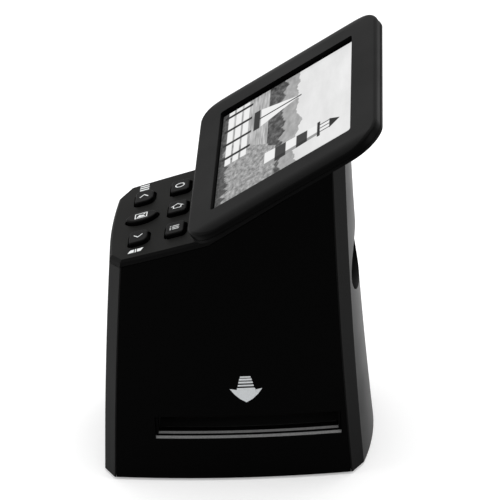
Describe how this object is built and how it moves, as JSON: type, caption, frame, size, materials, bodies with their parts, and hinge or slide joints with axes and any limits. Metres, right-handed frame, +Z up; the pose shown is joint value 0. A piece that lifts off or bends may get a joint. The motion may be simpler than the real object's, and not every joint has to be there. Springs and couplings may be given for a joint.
{
  "type": "film negative scanner",
  "caption": "Desktop film and slide scanner: tapered black tower with a film channel through its foot, keys on a sloping panel and an overhanging screen that tilts up.",
  "frame": {"origin": "middle of the whole object's footprint, on the desk, level with the underside of the rubber feet", "axes": "+Z up; the user sits at -Y, with the keys and the low edge of the screen nearest; +X is the user's right; the film channel runs along X"},
  "size_m": [0.1014, 0.103, 0.141],
  "materials": {
    "shell": "fine satin",
    "side_panel": "fine satin",
    "trim": "satin",
    "panel": "fine spark texture",
    "screen_case": "fine satin",
    "display": "semi-gloss polariser",
    "display_frame": "pressed sheet",
    "key": "satin",
    "rubber": "matt",
    "inner_plastic": "matt",
    "white_plastic": "matt",
    "circuit_board": "solder mask",
    "lens_glass": "coated",
    "steel": "plated",
    "washer": "natural acetal",
    "ribbon": "polyimide film"
  },
  "bodies": {
    "housing": {"front_shell": "shell", "back_shell": "shell", "base_cover": "shell", "right_side_panel": "side_panel", "left_side_panel": "side_panel", "right_slot_trim": "trim", "left_slot_trim": "trim", "top_cover": "panel", "rubber_feet": "rubber", "bed_pads": "rubber", "film_guide_lower": "inner_plastic", "optics_tower": "inner_plastic", "lens_shroud": "inner_plastic", "lens_barrel": "inner_plastic", "tact_switches": "inner_plastic", "image_sensor": "inner_plastic", "board_chips": "inner_plastic", "light_box": "white_plastic", "light_diffuser": "white_plastic", "backlight_leds": "white_plastic", "led_board": "circuit_board", "main_board": "circuit_board", "keypad_board": "circuit_board", "front_lens": "lens_glass", "rear_lens": "lens_glass", "base_screws": "steel", "guide_screws": "steel", "board_screws": "steel", "keypad_screws": "steel", "hinge_pins": "steel", "usb_socket": "steel", "hdmi_socket": "steel", "card_socket": "steel", "screen_ribbon": "ribbon"},
    "screen": {"screen_bezel": "screen_case", "screen_back": "screen_case", "lcd_panel": "display", "lcd_backlight": "display_frame", "screen_board": "circuit_board", "screen_screws": "steel", "hinge_washers": "washer"},
    "left_key_body": {"left_key": "key"},
    "scan_key_body": {"scan_key": "key"},
    "right_key_body": {"right_key": "key"},
    "mode_key_body": {"mode_key": "key"},
    "home_key_body": {"home_key": "key"},
    "menu_key_body": {"menu_key": "key"}
  },
  "joints": [
    {"name": "screen_tilt", "type": "hinge", "parent": "housing", "child": "screen", "pos_m": [0, -0.00424, 0.09924], "axis": [1, 0, 0], "range_deg": [0, 45]},
    {"name": "left_key_press", "type": "slide", "parent": "housing", "child": "left_key_body", "axis": [0, 0.2554, -0.9668], "range_m": [0, 0.0006], "stiffness_N_per_m": 1500},
    {"name": "scan_key_press", "type": "slide", "parent": "housing", "child": "scan_key_body", "axis": [0, 0.2554, -0.9668], "range_m": [0, 0.0006], "stiffness_N_per_m": 1500},
    {"name": "right_key_press", "type": "slide", "parent": "housing", "child": "right_key_body", "axis": [0, 0.2554, -0.9668], "range_m": [0, 0.0006], "stiffness_N_per_m": 1500},
    {"name": "mode_key_press", "type": "slide", "parent": "housing", "child": "mode_key_body", "axis": [0, 0.2554, -0.9668], "range_m": [0, 0.0006], "stiffness_N_per_m": 1500},
    {"name": "home_key_press", "type": "slide", "parent": "housing", "child": "home_key_body", "axis": [0, 0.2554, -0.9668], "range_m": [0, 0.0006], "stiffness_N_per_m": 1500},
    {"name": "menu_key_press", "type": "slide", "parent": "housing", "child": "menu_key_body", "axis": [0, 0.2554, -0.9668], "range_m": [0, 0.0006], "stiffness_N_per_m": 1500}
  ]
}
